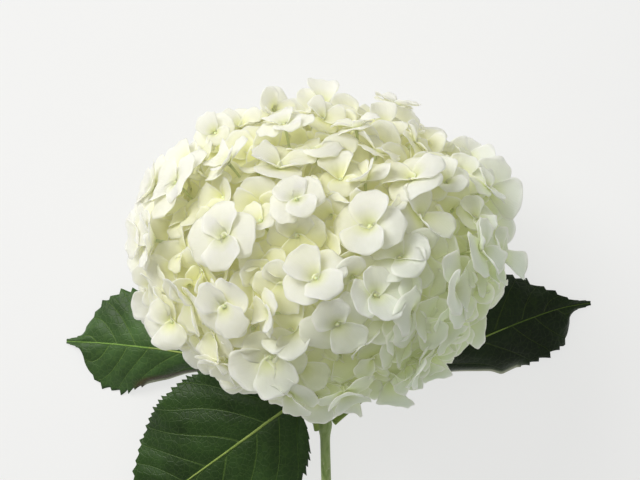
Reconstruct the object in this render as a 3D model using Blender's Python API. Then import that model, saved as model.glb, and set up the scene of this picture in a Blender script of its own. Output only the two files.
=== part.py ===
"""A cut mophead hydrangea lying on a flat surface.

The stem runs along Y with its cut end at -Y, and the flower head is at +Y, leaning up from the
surface. The head rests on its underside, where the lowest florets are pressed flat. The woody stem
divides inside the head into rays. Each ray carries one small branch of florets: four-lobed flowers
on thin stalks. Four leaves leave the stem at one joint just below the head.
Units are metres, +Z is up, and the surface is at z = 0.
"""

import math

import bmesh
import bpy
from mathutils import Matrix, Vector

# ---- the flower head: a spheroid, wide across its axis and shorter along it ----
HEAD_CENTRE = Vector((-0.0022, 0.0795, 0.0800))
HEAD_TILT = math.radians(30)  # the head's axis above the surface
HEAD_ACROSS = 0.088  # semi-axes to the middle layer of florets
HEAD_ALONG = 0.064
COVERED = math.radians(140)  # how far from the top of the head the florets reach
LAYER_STEP = 0.005  # florets lie in three layers, inner, middle and outer

# ---- a floret ----
FLORET_THICK = 0.0009
FLORET_CUP = 0.0006  # the tips rise over the middle by this much
NOTCH = 0.64  # reach of the notch between two lobes, over the reach of a lobe
LOBE_HALF_ANGLE = math.radians(29)
FLORET_GAP = 0.0005
BUD_RISE = 0.0012  # the stalk's end stands this far over the middle of the lobes
STALK_RADIUS = 0.0007
RAY_RADIUS = 0.0010
BRANCH_RADIUS = 0.0017
KNUCKLE_RADIUS = 0.0017
CLUSTER_SIZE = 3
CLUSTER_SPAN = 0.040  # florets of one cluster are no farther than this from its first
FILL_SPACING = 0.0172  # the filling florets stop when none fits this far from all the others
FILL_SIZE = 0.027
FILL_PLACES = 900  # places tried when filling
LARGEST_SHARE = 0.56  # of the gap to a neighbour, for the larger floret of the two
STALK_PASSING = 0.0032  # a stalk this close to a floret's plane passes beside it
LEAST_REACH = 0.004
RAY_REACH = 0.60  # how far from the branching point to the florets a ray goes
MAIN_BRANCHES = 7
FORK_SHARE = 0.42  # how far along its rays a main branch divides
BRANCHING_RADIUS = 0.0034

# Florets on the upper side, in millimetres from the head's centre as seen from above:
# x, y, layer (0 inner, 1 middle, 2 outer), size across.
FACE_FLORETS = (
    (-12, 20, 2, 25), (19, 10, 2, 27), (-43, 5, 2, 31), (-75, 4, 2, 28), (-43, -24, 2, 28),
    (-63, -24, 1, 30), (-13, 9, 1, 25), (-4, -12, 2, 26), (-19, -14, 1, 26), (12, -11, 1, 22),
    (21, -19, 2, 25), (32, -3, 2, 24), (5, -31, 2, 28), (-15, -36, 1, 25), (58, -18, 2, 28),
    (38, -27, 2, 30), (70, 0, 2, 26), (73, -12, 1, 23), (53, 2, 0, 23), (56, 32, 1, 21),
    (39, 32, 2, 28), (-18, 54, 2, 25), (24, 47, 1, 21), (43, 17, 1, 30), (71, 16, 1, 21),
    (83, 14, 0, 18), (73, 28, 2, 22), (67, 38, 1, 21), (52, 41, 0, 22), (43, 53, 1, 21),
    (28, 61, 1, 20), (14, 54, 2, 22), (-1, 64, 1, 20), (-25, 68, 2, 20), (-41, 61, 1, 21),
    (-51, 54, 2, 20), (-60, 45, 1, 19), (-43, 38, 2, 23), (-66, 29, 2, 30), (-49, 28, 0, 20),
    (-32, 25, 0, 23), (-21, 39, 1, 28), (-5, 47, 1, 26), (7, 36, 0, 23), (18, 34, 1, 24),
    (-53, 17, 0, 18), (-61, -8, 0, 24), (-29, 14, 1, 20), (-29, -3, 0, 23), (-24, -27, 2, 20),
    (-35, -37, 0, 23), (-53, -39, 1, 26), (-46, -51, 2, 23), (-25, -49, 1, 28), (-16, -62, 2, 27),
    (9, -63, 2, 26), (-3, -46, 0, 24), (29, -29, 1, 25), (33, -43, 1, 23), (44, -52, 2, 23),
    (23, -53, 0, 23), (49, -9, 0, 23),
)

# Florets pressed flat under the head, all in the outer layer: x, y from the head's centre, in
# millimetres.
RESTING_FLORETS = ((0, 21), (29, 21), (-29, 21), (15, 46), (-15, 46), (15, -4), (-15, -4))

# ---- the stem, from the branching point inside the head to the cut end ----
# Each point: place from the spot on the surface below the head's centre, and radius.
STEM_ROUTE = (
    ((0.0, -0.030, 0.0625), 0.0024),
    ((0.0, -0.058, 0.0475), 0.0023),
    ((0.0, -0.086, 0.0335), 0.0025),
    ((0.001, -0.125, 0.0215), 0.0024),
    ((0.003, -0.175, 0.0115), 0.0025),
    ((0.006, -0.236, 0.0026), 0.0026),
)
STEM_SIDES = 8
RAY_SIDES = 4
STALK_SIDES = 4
JOINT_AT = Vector((0.0, -0.0865, 0.0333))  # where the leaves leave the stem
JOINT_RADIUS = 0.0036

# ---- the leaves ----
LEAF_THICK = 0.0009
PETIOLE_RADIUS = 0.0016
SPINE_STATIONS = 27
# spine: points along the midrib, in metres from below the head's centre.
# left, right: how far each half of the blade rises over the midrib, in degrees, at base and tip.
# left_edge, right_edge: the width of each half in millimetres along the blade's length. The end is
# blunt and carries a narrow drip tip, and a half that is rolled under at its foot is narrow there.
LEAVES = {
    "left_leaf": dict(
        spine=((-0.0045, -0.0855, 0.0315), (-0.014, -0.079, 0.0280), (-0.030, -0.066, 0.0240),
               (-0.052, -0.0560, 0.0210), (-0.0775, -0.0510, 0.0175), (-0.100, -0.0485, 0.0120),
               (-0.115, -0.0475, 0.0065), (-0.132, -0.0470, 0.0012)),
        half_width=0.029, blade_from=0.17, left=(-56, -8), right=(-8, -6),
        left_edge=((0.0, 1.8), (0.2, 6), (0.35, 9), (0.45, 13), (0.53, 17.5), (0.62, 20.5),
                   (0.74, 25.5), (0.8, 24.5), (0.85, 21.5), (0.895, 15), (0.915, 8), (0.93, 2.6),
                   (1.0, 1.0)),
        right_edge=((0.0, 1.8), (0.05, 12), (0.12, 19), (0.25, 26), (0.42, 29), (0.58, 29),
                    (0.68, 28), (0.76, 26), (0.8, 23.5), (0.845, 19), (0.885, 12), (0.915, 6),
                    (0.93, 2.6), (1.0, 1.0)),
    ),
    "right_leaf": dict(
        spine=((0.0045, -0.0855, 0.0330), (0.013, -0.079, 0.0300), (0.030, -0.067, 0.0265),
               (0.0565, -0.0545, 0.0225), (0.085, -0.0420, 0.0180), (0.1065, -0.0340, 0.0120),
               (0.122, -0.0295, 0.0060), (0.136, -0.0275, 0.0012)),
        half_width=0.029, blade_from=0.17, left=(-8, -6), right=(-56, -6),
        left_edge=((0.0, 1.8), (0.05, 11), (0.12, 19), (0.25, 27), (0.42, 31), (0.55, 31),
                   (0.67, 26.5), (0.78, 15.5), (0.865, 7), (0.89, 4), (0.93, 2.2), (1.0, 1.0)),
        right_edge=((0.0, 1.8), (0.2, 7), (0.35, 13), (0.44, 18), (0.50, 21), (0.54, 25),
                    (0.6, 24), (0.68, 23), (0.78, 20.5), (0.85, 18.5), (0.88, 13), (0.9, 5),
                    (0.93, 2.2), (1.0, 1.0)),
    ),
    "front_leaf": dict(
        spine=((-0.0038, -0.0888, 0.0367), (-0.0065, -0.0795, 0.0405), (-0.0115, -0.0745, 0.0420),
               (-0.0215, -0.0800, 0.0395), (-0.0375, -0.0920, 0.0345), (-0.0570, -0.1067, 0.0265),
               (-0.0770, -0.1217, 0.0170), (-0.0950, -0.1352, 0.0075), (-0.1055, -0.1430, 0.0012)),
        half_width=0.041, blade_from=0.125, left=(-6, -8), right=(-4, -8),
        left_edge=((0.0, 2.3), (0.05, 15), (0.12, 26), (0.25, 35), (0.4, 38), (0.52, 37),
                   (0.64, 30), (0.75, 20), (0.83, 12), (0.88, 5), (0.9, 2.8), (1.0, 1.2)),
        right_edge=((0.0, 2.3), (0.05, 15), (0.12, 27), (0.2, 35), (0.28, 39), (0.37, 41),
                    (0.5, 39.5), (0.58, 36), (0.68, 28.5), (0.76, 20), (0.83, 12), (0.88, 5),
                    (0.9, 2.8), (1.0, 1.2)),
    ),
    "young_leaf": dict(
        spine=((0.0012, -0.0845, 0.0385), (0.0018, -0.0795, 0.0430), (0.0020, -0.0735, 0.0465),
               (0.0015, -0.0665, 0.0490), (0.0005, -0.0595, 0.0500)),
        half_width=0.0058, blade_from=0.12, left=(38, 30), right=(38, 30),
        left_edge=((0.0, 0.4), (0.12, 3.9), (0.25, 5.3), (0.42, 5.8), (0.6, 5.6), (0.75, 4.6),
                   (0.9, 1.6), (1.0, 0.3)),
        right_edge=((0.0, 0.4), (0.12, 3.9), (0.25, 5.3), (0.42, 5.8), (0.6, 5.6), (0.75, 4.6),
                    (0.9, 1.6), (1.0, 0.3)),
    ),
}

AXIS = Vector((0.0, math.cos(HEAD_TILT), math.sin(HEAD_TILT)))
SIDE = Vector((1.0, 0.0, 0.0))
BELLY = AXIS.cross(SIDE)  # across the head, towards the surface it lies on
OUTERMOST = LAYER_STEP + FLORET_CUP + FLORET_THICK
GROUND = Vector((HEAD_CENTRE.x, HEAD_CENTRE.y, 0.0))


def clear_scene():
    for old in list(bpy.data.objects):
        bpy.data.objects.remove(old, do_unlink=True)
    for old in list(bpy.data.collections):
        bpy.data.collections.remove(old)


def material(name, colour, roughness):
    made = bpy.data.materials.new(name)
    made.use_nodes = True
    shader = made.node_tree.nodes["Principled BSDF"]
    shader.inputs["Base Color"].default_value = (*colour, 1.0)
    shader.inputs["Roughness"].default_value = roughness
    shader.inputs["Metallic"].default_value = 0.0
    made.diffuse_color = (*colour, 1.0)
    return made


def new_object(name, mesh_source, collection, surface):
    mesh = bpy.data.meshes.new(name)
    mesh_source.to_mesh(mesh)
    mesh_source.free()
    mesh.materials.append(surface)
    made = bpy.data.objects.new(name, mesh)
    collection.objects.link(made)
    return made


# ---- places on the head ----

def over_head(direction, lift=0.0):
    """The point over a direction from the head's centre, lifted off the middle layer, and the
    outward normal there. The underside is pressed flat against the surface."""
    local = Vector((HEAD_ACROSS * direction.x, HEAD_ACROSS * direction.y, HEAD_ALONG * direction.z))
    out = Vector((direction.x / HEAD_ACROSS, direction.y / HEAD_ACROSS, direction.z / HEAD_ALONG))
    out.normalize()
    local += out * lift
    place = HEAD_CENTRE + SIDE * local.x + BELLY * local.y + AXIS * local.z
    normal = SIDE * out.x + BELLY * out.y + AXIS * out.z
    pressed = OUTERMOST - lift
    if place.z < pressed:
        place.z = pressed
        normal = Vector((0.0, 0.0, -1.0))
    return place, normal


def direction_to(place):
    """The direction, in the head's own axes, whose ray to the middle layer passes near a place."""
    offset = place - HEAD_CENTRE
    local = Vector((offset.dot(SIDE) / HEAD_ACROSS, offset.dot(BELLY) / HEAD_ACROSS,
                    offset.dot(AXIS) / HEAD_ALONG))
    return local.normalized()


def seen_from_above(x, y):
    """The direction of the middle layer's upper point at x, y from the centre."""
    across = x / HEAD_ACROSS
    ring = math.sqrt(max(0.0, 1.0 - across * across))
    sine, cosine = math.sin(HEAD_TILT), math.cos(HEAD_TILT)
    reach = math.hypot(HEAD_ACROSS * sine, HEAD_ALONG * cosine)
    turn = math.atan2(HEAD_ALONG * cosine, HEAD_ACROSS * sine)
    swing = math.acos(max(-1.0, min(1.0, y / max(1e-9, ring * reach))))
    choices = [Vector((across, ring * math.cos(angle), ring * math.sin(angle)))
               for angle in (turn + swing, turn - swing)]
    return max(choices, key=lambda choice: over_head(choice)[0].z)


def spiral_directions(count):
    """Directions spread evenly over the covered part of the head."""
    golden = math.pi * (3.0 - math.sqrt(5.0))
    lowest = math.cos(COVERED)
    for index in range(count):
        z = 1.0 - (1.0 - lowest) * (index + 0.5) / count
        ring = math.sqrt(1.0 - z * z)
        yield Vector((ring * math.cos(golden * index), ring * math.sin(golden * index), z))


def farthest(candidates, places, taken):
    """The candidate whose place is farthest from the places taken, and that distance."""
    best, best_gap = None, -1.0
    for candidate, place in zip(candidates, places):
        gap = min((place - other).length for other in taken)
        if gap > best_gap:
            best, best_gap = candidate, gap
    return best, best_gap


def floret_plan():
    """Every floret as a dict: direction, layer, size, place and normal."""
    florets = []
    for x, y, layer, size in FACE_FLORETS:
        direction = seen_from_above(x / 1000, y / 1000)
        florets.append(dict(direction=direction, layer=layer, size=size / 1000))
    for x, y in RESTING_FLORETS:
        below = Vector((HEAD_CENTRE.x + x / 1000, HEAD_CENTRE.y + y / 1000, 0.0))
        florets.append(dict(direction=direction_to(below), layer=2, size=FILL_SIZE))
    candidates = list(spiral_directions(FILL_PLACES))
    places = [over_head(direction)[0] for direction in candidates]
    taken = [over_head(floret["direction"])[0] for floret in florets]
    while True:
        direction, gap = farthest(candidates, places, taken)
        if gap < FILL_SPACING:
            break
        place = over_head(direction)[0]
        spare = [min([(place - there).length for there, floret in zip(taken, florets)
                      if floret["layer"] == layer] or [1.0]) for layer in range(3)]
        florets.append(dict(direction=direction, layer=spare.index(max(spare)), size=FILL_SIZE))
        taken.append(place)
    for floret in florets:
        lift = (floret["layer"] - 1) * LAYER_STEP
        floret["place"], floret["normal"] = over_head(floret["direction"], lift)
    return florets


BRANCHING = GROUND + Vector(STEM_ROUTE[0][0])


def cluster_plan(florets):
    """The florets in groups of neighbours, from the foot of the head to its top, one group to a
    ray: a list of (ray end, florets)."""
    waiting = sorted(florets, key=lambda floret: floret["direction"].z)
    clusters = []
    while waiting:
        first = waiting.pop(0)
        near = sorted(waiting, key=lambda floret: (floret["place"] - first["place"]).length)
        group = [first] + [floret for floret in near[:CLUSTER_SIZE - 1]
                           if (floret["place"] - first["place"]).length < CLUSTER_SPAN]
        for floret in group[1:]:
            waiting.remove(floret)
        middle = sum((floret["place"] for floret in group), Vector()) / len(group)
        clusters.append((BRANCHING.lerp(middle, RAY_REACH), group))
    return clusters


def set_reaches(clusters):
    """How far each floret's lobes reach, so that it clears its layer's neighbours and every stalk
    of another cluster that passes beside it."""
    florets = [(floret, index) for index, (_, group) in enumerate(clusters) for floret in group]
    stalks = [(end, floret["place"], index) for index, (end, group) in enumerate(clusters)
              for floret in group]
    for floret, cluster in florets:
        reach = floret["size"] / 2
        for other, _ in florets:
            if other is floret or other["layer"] != floret["layer"]:
                continue
            gap = (other["place"] - floret["place"]).length
            share = floret["size"] / (floret["size"] + other["size"])
            reach = min(reach, (gap - FLORET_GAP) * min(share, LARGEST_SHARE))
        for start, end, owner in stalks:
            if owner == cluster:
                continue
            for step in range(21):
                offset = start.lerp(end, step / 20) - floret["place"]
                height = offset.dot(floret["normal"])
                if abs(height) < STALK_PASSING:
                    beside = (offset - floret["normal"] * height).length
                    reach = min(reach, beside - STALK_RADIUS - 2 * FLORET_GAP)
        floret["reach"] = max(reach, LEAST_REACH)


# ---- shapes ----

def add_floret(mesh, floret):
    """A thin four-lobed dish that follows the head's curve. Returns the tip of the bud in its
    middle, which is the end of its stalk."""
    lift = (floret["layer"] - 1) * LAYER_STEP
    normal = floret["normal"]
    first = normal.cross(Vector((0.31, 0.17, 0.94))).normalized()
    second = normal.cross(first)
    middle = over_head(floret["direction"], lift)[0]

    def rim_at(angle, reach, height):
        flat = middle + (first * math.cos(angle) + second * math.sin(angle)) * reach
        return over_head(direction_to(flat), lift + height)[0]

    outline = []
    for lobe in range(4):
        tip = lobe * math.pi / 2
        for turn, share in ((-LOBE_HALF_ANGLE, 1.0), (LOBE_HALF_ANGLE, 1.0), (math.pi / 4, NOTCH)):
            outline.append((tip + turn, share * floret["reach"]))
    lower = [mesh.verts.new(rim_at(angle, reach, FLORET_CUP)) for angle, reach in outline]
    upper = [mesh.verts.new(rim_at(angle, reach, FLORET_CUP + FLORET_THICK))
             for angle, reach in outline]
    notches = [3 * lobe + 2 for lobe in range(4)]
    lobes = [(3 * lobe - 1, 3 * lobe, 3 * lobe + 1, 3 * lobe + 2) for lobe in range(4)]
    for corners in [notches, *lobes]:
        mesh.faces.new([upper[corner] for corner in corners])
        mesh.faces.new([lower[corner] for corner in (corners[0], *reversed(corners[1:]))])
    for index in range(len(outline)):
        beside = (index + 1) % len(outline)
        mesh.faces.new((lower[index], lower[beside], upper[beside], upper[index]))
    bud = sum((vert.co for vert in lower + upper), Vector()) / (2 * len(outline))
    bud += floret["normal"] * BUD_RISE
    bud.z = max(bud.z, FLORET_THICK * 0.6)
    return bud


def add_rod(mesh, start, end, start_radius, end_radius, sides):
    """A tapered round rod between two points."""
    along = end - start
    turn = along.to_track_quat("Z", "Y").to_matrix().to_4x4()
    bmesh.ops.create_cone(mesh, cap_ends=True, cap_tris=False, segments=sides,
                          radius1=start_radius, radius2=end_radius, depth=along.length,
                          matrix=Matrix.Translation((start + end) / 2) @ turn)


def united(name, core, extra, collection, cutters, surface):
    """The core shape with the extra shapes joined to it as one solid."""
    bmesh.ops.recalc_face_normals(extra, faces=extra.faces)
    added = new_object(name + "_shapes", extra, cutters, surface)
    added.hide_render = True
    added.display_type = "WIRE"
    made = new_object(name, core, collection, surface)
    union = made.modifiers.new("Union", "BOOLEAN")
    union.operation = "UNION"
    union.solver = "EXACT"
    union.use_self = True
    union.object = added
    return made


def smooth_path(points, count):
    """Points evenly placed along a smooth curve through the given points."""
    fine = []
    for index in range(len(points) - 1):
        before = points[max(index - 1, 0)]
        here, there = points[index], points[index + 1]
        after = points[min(index + 2, len(points) - 1)]
        for step in range(20):
            t = step / 20
            fine.append(0.5 * (2 * here + (there - before) * t
                               + (2 * before - 5 * here + 4 * there - after) * t * t
                               + (3 * here - before - 3 * there + after) * t * t * t))
    fine.append(points[-1].copy())
    lengths = [0.0]
    for first, second in zip(fine, fine[1:]):
        lengths.append(lengths[-1] + (second - first).length)
    path, index = [], 0
    for step in range(count):
        wanted = lengths[-1] * step / (count - 1)
        while index < len(lengths) - 2 and lengths[index + 1] < wanted:
            index += 1
        share = (wanted - lengths[index]) / max(1e-9, lengths[index + 1] - lengths[index])
        path.append(fine[index].lerp(fine[index + 1], min(1.0, share)))
    return path


def tangent_at(path, index):
    return (path[min(index + 1, len(path) - 1)] - path[max(index - 1, 0)]).normalized()


def add_loft(mesh, sections):
    """Skin a row of equal-sized point rings and cap both ends."""
    rings = [[mesh.verts.new(point) for point in section] for section in sections]
    for ring, following in zip(rings, rings[1:]):
        for index in range(len(ring)):
            beside = (index + 1) % len(ring)
            mesh.faces.new((ring[index], ring[beside], following[beside], following[index]))
    mesh.faces.new(rings[0][::-1])
    mesh.faces.new(rings[-1])
    bmesh.ops.recalc_face_normals(mesh, faces=mesh.faces)


def read_shape(shape, t):
    for (start, low), (end, high) in zip(shape, shape[1:]):
        if t <= end:
            return low + (high - low) * (t - start) / (end - start)
    return shape[-1][1]


def leaf_section(place, tangent, left, right, thick, round_radius):
    """One ring of a leaf: edge, half way, midrib, half way, edge above, then back below.
    left and right are each half's width and the angle in degrees at which it rises."""
    sideways = Vector((0.0, 0.0, 1.0)).cross(tangent).normalized()
    up = tangent.cross(sideways)
    depth = max(thick, 2 * round_radius)
    upper, lower = [], []
    for sign, (width, rise) in ((1, left), (-1, right)):
        for share, bend in ((1.0, 0.0), (0.5, 4.0)):
            angle = math.radians(rise + bend)
            spread = sideways * sign * math.cos(angle) + up * math.sin(angle)
            point = place + spread * (width * share)
            body = 0.35 if share == 1.0 else 0.5
            upper.append(point + up * depth * body)
            lower.append(point - up * depth * body)
    top, bottom = place + up * depth / 2, place - up * depth / 2
    return [upper[0], upper[1], top, upper[3], upper[2], lower[2], lower[3], bottom, lower[1],
            lower[0]]


def add_leaf(name, plan, collection, surface):
    spine = [GROUND + Vector(point) for point in plan["spine"]]
    path = smooth_path(spine, SPINE_STATIONS)
    sections = []
    for index, place in enumerate(path):
        t = index / (len(path) - 1)
        along = (t - plan["blade_from"]) / (1.0 - plan["blade_from"])
        stalk = PETIOLE_RADIUS * min(1.0, plan["half_width"] / 0.02)
        if along < 0:
            thick, radius = 0.0, stalk
            along = 0.0
            widths = [stalk, stalk]
        else:
            thick, radius = LEAF_THICK, max(0.0, stalk * (0.8 - 2.5 * along))
            widths = [max(stalk * 0.6, read_shape(plan[edge], along) / 1000)
                      for edge in ("left_edge", "right_edge")]
        rises = [start + (end - start) * along for start, end in (plan["left"], plan["right"])]
        left, right = zip(widths, rises)
        sections.append(leaf_section(place, tangent_at(path, index), left, right, thick, radius))
    mesh = bmesh.new()
    add_loft(mesh, sections)
    new_object(name, mesh, collection, surface)


def add_cluster(index, end, group, collection, cutters, surface):
    core = bmesh.new()
    bmesh.ops.create_icosphere(core, subdivisions=1, radius=KNUCKLE_RADIUS,
                               matrix=Matrix.Translation(end))
    extra = bmesh.new()
    for floret in group:
        bud = add_floret(extra, floret)
        add_rod(extra, end, bud, STALK_RADIUS, STALK_RADIUS, STALK_SIDES)
    return united(f"floret_cluster_{index + 1:02d}", core, extra, collection, cutters, surface)


def ray_groups(ends):
    """The ray ends gathered under a few main branches."""
    seeds = [ends[0]]
    while len(seeds) < MAIN_BRANCHES:
        seeds.append(farthest(ends, ends, seeds)[0])
    groups = [[] for _ in seeds]
    for end in ends:
        gaps = [(end - seed).length for seed in seeds]
        groups[gaps.index(min(gaps))].append(end)
    return [group for group in groups if group]


def add_stem(clusters, collection, cutters, surface):
    path = smooth_path([GROUND + Vector(point) for point, _ in STEM_ROUTE], 16)
    radii = [radius for _, radius in STEM_ROUTE]
    sections = []
    for index, place in enumerate(path):
        t = index / (len(path) - 1) * (len(radii) - 1)
        low = min(int(t), len(radii) - 2)
        radius = radii[low] + (radii[low + 1] - radii[low]) * (t - low)
        tangent = tangent_at(path, index)
        turn = tangent.to_track_quat("Z", "Y")
        sections.append([place + turn @ Vector((radius * math.cos(angle), radius * math.sin(angle), 0))
                         for angle in (2 * math.pi * side / STEM_SIDES for side in range(STEM_SIDES))])
    core = bmesh.new()
    add_loft(core, sections)
    extra = bmesh.new()
    bmesh.ops.create_icosphere(extra, subdivisions=2, radius=JOINT_RADIUS,
                               matrix=Matrix.Translation(GROUND + JOINT_AT))
    bmesh.ops.create_icosphere(extra, subdivisions=2, radius=BRANCHING_RADIUS,
                               matrix=Matrix.Translation(BRANCHING))
    stop = KNUCKLE_RADIUS + FLORET_GAP
    for group in ray_groups([end for end, _ in clusters]):
        middle = sum(group, Vector()) / len(group)
        fork = BRANCHING.lerp(middle, FORK_SHARE)
        add_rod(extra, BRANCHING, fork, BRANCH_RADIUS, BRANCH_RADIUS, 6)
        bmesh.ops.create_icosphere(extra, subdivisions=1, radius=BRANCH_RADIUS * 1.15,
                                   matrix=Matrix.Translation(fork))
        for end in group:
            short = end + (fork - end).normalized() * stop
            add_rod(extra, fork, short, RAY_RADIUS, RAY_RADIUS, RAY_SIDES)
    return united("stem", core, extra, collection, cutters, surface)


def build():
    clear_scene()
    parts = bpy.data.collections.new("cut_hydrangea")
    cutters = bpy.data.collections.new("shapes_to_join")
    for collection in (parts, cutters):
        bpy.context.scene.collection.children.link(collection)
    cream = material("sepals", (0.86, 0.86, 0.72), 0.55)
    green = material("leaf_green", (0.06, 0.14, 0.05), 0.50)
    bark = material("stem_green", (0.32, 0.42, 0.16), 0.50)
    clusters = cluster_plan(floret_plan())
    set_reaches(clusters)
    for index, (end, group) in enumerate(clusters):
        add_cluster(index, end, group, parts, cutters, cream)
    add_stem(clusters, parts, cutters, bark)
    for name, plan in LEAVES.items():
        add_leaf(name, plan, parts, green)


build()
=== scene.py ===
"""A cut mophead hydrangea lying on a pale surface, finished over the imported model.

Every floret of the model becomes four broad sepals and a bud on a thin stalk. The leaves get
teeth, veins and quilting, and the stem its joints, rays and cut end. Units are metres.
"""

import math

import bpy
import numpy as np
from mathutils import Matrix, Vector

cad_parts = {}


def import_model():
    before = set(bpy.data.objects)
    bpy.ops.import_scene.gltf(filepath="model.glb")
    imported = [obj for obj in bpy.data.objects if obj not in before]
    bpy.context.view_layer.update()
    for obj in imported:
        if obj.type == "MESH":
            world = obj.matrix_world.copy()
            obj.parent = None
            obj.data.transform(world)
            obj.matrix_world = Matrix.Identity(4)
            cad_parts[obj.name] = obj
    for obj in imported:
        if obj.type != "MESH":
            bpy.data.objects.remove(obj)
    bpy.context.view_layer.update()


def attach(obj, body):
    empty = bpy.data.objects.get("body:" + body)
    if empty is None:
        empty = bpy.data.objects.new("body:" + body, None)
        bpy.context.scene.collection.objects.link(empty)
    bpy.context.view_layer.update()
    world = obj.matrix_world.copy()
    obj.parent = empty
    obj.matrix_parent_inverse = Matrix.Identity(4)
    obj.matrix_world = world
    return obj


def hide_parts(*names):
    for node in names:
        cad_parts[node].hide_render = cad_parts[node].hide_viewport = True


# ---- the model's own layout, repeated: the head, its florets and the route of the stem ----
HEAD_CENTRE = Vector((-0.0022, 0.0795, 0.0800))
HEAD_TILT = math.radians(30)
HEAD_ACROSS = 0.088
HEAD_ALONG = 0.064
COVERED = math.radians(140)
LAYER_STEP = 0.005
OUTERMOST = 0.0065
CLUSTER_SIZE = 3
CLUSTER_SPAN = 0.040
FILL_SPACING = 0.0172
FILL_SIZE = 0.027
FILL_PLACES = 900
RAY_REACH = 0.60
MAIN_BRANCHES = 7
FORK_SHARE = 0.42
FACE_FLORETS = (
    (-12, 20, 2, 25), (19, 10, 2, 27), (-43, 5, 2, 31), (-75, 4, 2, 28), (-43, -24, 2, 28),
    (-63, -24, 1, 30), (-13, 9, 1, 25), (-4, -12, 2, 26), (-19, -14, 1, 26), (12, -11, 1, 22),
    (21, -19, 2, 25), (32, -3, 2, 24), (5, -31, 2, 28), (-15, -36, 1, 25), (58, -18, 2, 28),
    (38, -27, 2, 30), (70, 0, 2, 26), (73, -12, 1, 23), (53, 2, 0, 23), (56, 32, 1, 21),
    (39, 32, 2, 28), (-18, 54, 2, 25), (24, 47, 1, 21), (43, 17, 1, 30), (71, 16, 1, 21),
    (83, 14, 0, 18), (73, 28, 2, 22), (67, 38, 1, 21), (52, 41, 0, 22), (43, 53, 1, 21),
    (28, 61, 1, 20), (14, 54, 2, 22), (-1, 64, 1, 20), (-25, 68, 2, 20), (-41, 61, 1, 21),
    (-51, 54, 2, 20), (-60, 45, 1, 19), (-43, 38, 2, 23), (-66, 29, 2, 30), (-49, 28, 0, 20),
    (-32, 25, 0, 23), (-21, 39, 1, 28), (-5, 47, 1, 26), (7, 36, 0, 23), (18, 34, 1, 24),
    (-53, 17, 0, 18), (-61, -8, 0, 24), (-29, 14, 1, 20), (-29, -3, 0, 23), (-24, -27, 2, 20),
    (-35, -37, 0, 23), (-53, -39, 1, 26), (-46, -51, 2, 23), (-25, -49, 1, 28), (-16, -62, 2, 27),
    (9, -63, 2, 26), (-3, -46, 0, 24), (29, -29, 1, 25), (33, -43, 1, 23), (44, -52, 2, 23),
    (23, -53, 0, 23), (49, -9, 0, 23),
)
RESTING_FLORETS = ((0, 21), (29, 21), (-29, 21), (15, 46), (-15, 46), (15, -4), (-15, -4))
STEM_ROUTE = (
    ((0.0, -0.030, 0.0625), 0.0024),
    ((0.0, -0.058, 0.0475), 0.0023),
    ((0.0, -0.086, 0.0335), 0.0025),
    ((0.001, -0.125, 0.0215), 0.0024),
    ((0.003, -0.175, 0.0115), 0.0025),
    ((0.006, -0.236, 0.0026), 0.0026),
)
YOUNG_EDGE = ((0.0, 0.4), (0.12, 3.9), (0.25, 5.3), (0.42, 5.8), (0.6, 5.6), (0.75, 4.6), (0.9, 1.6),
              (1.0, 0.3))
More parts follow.
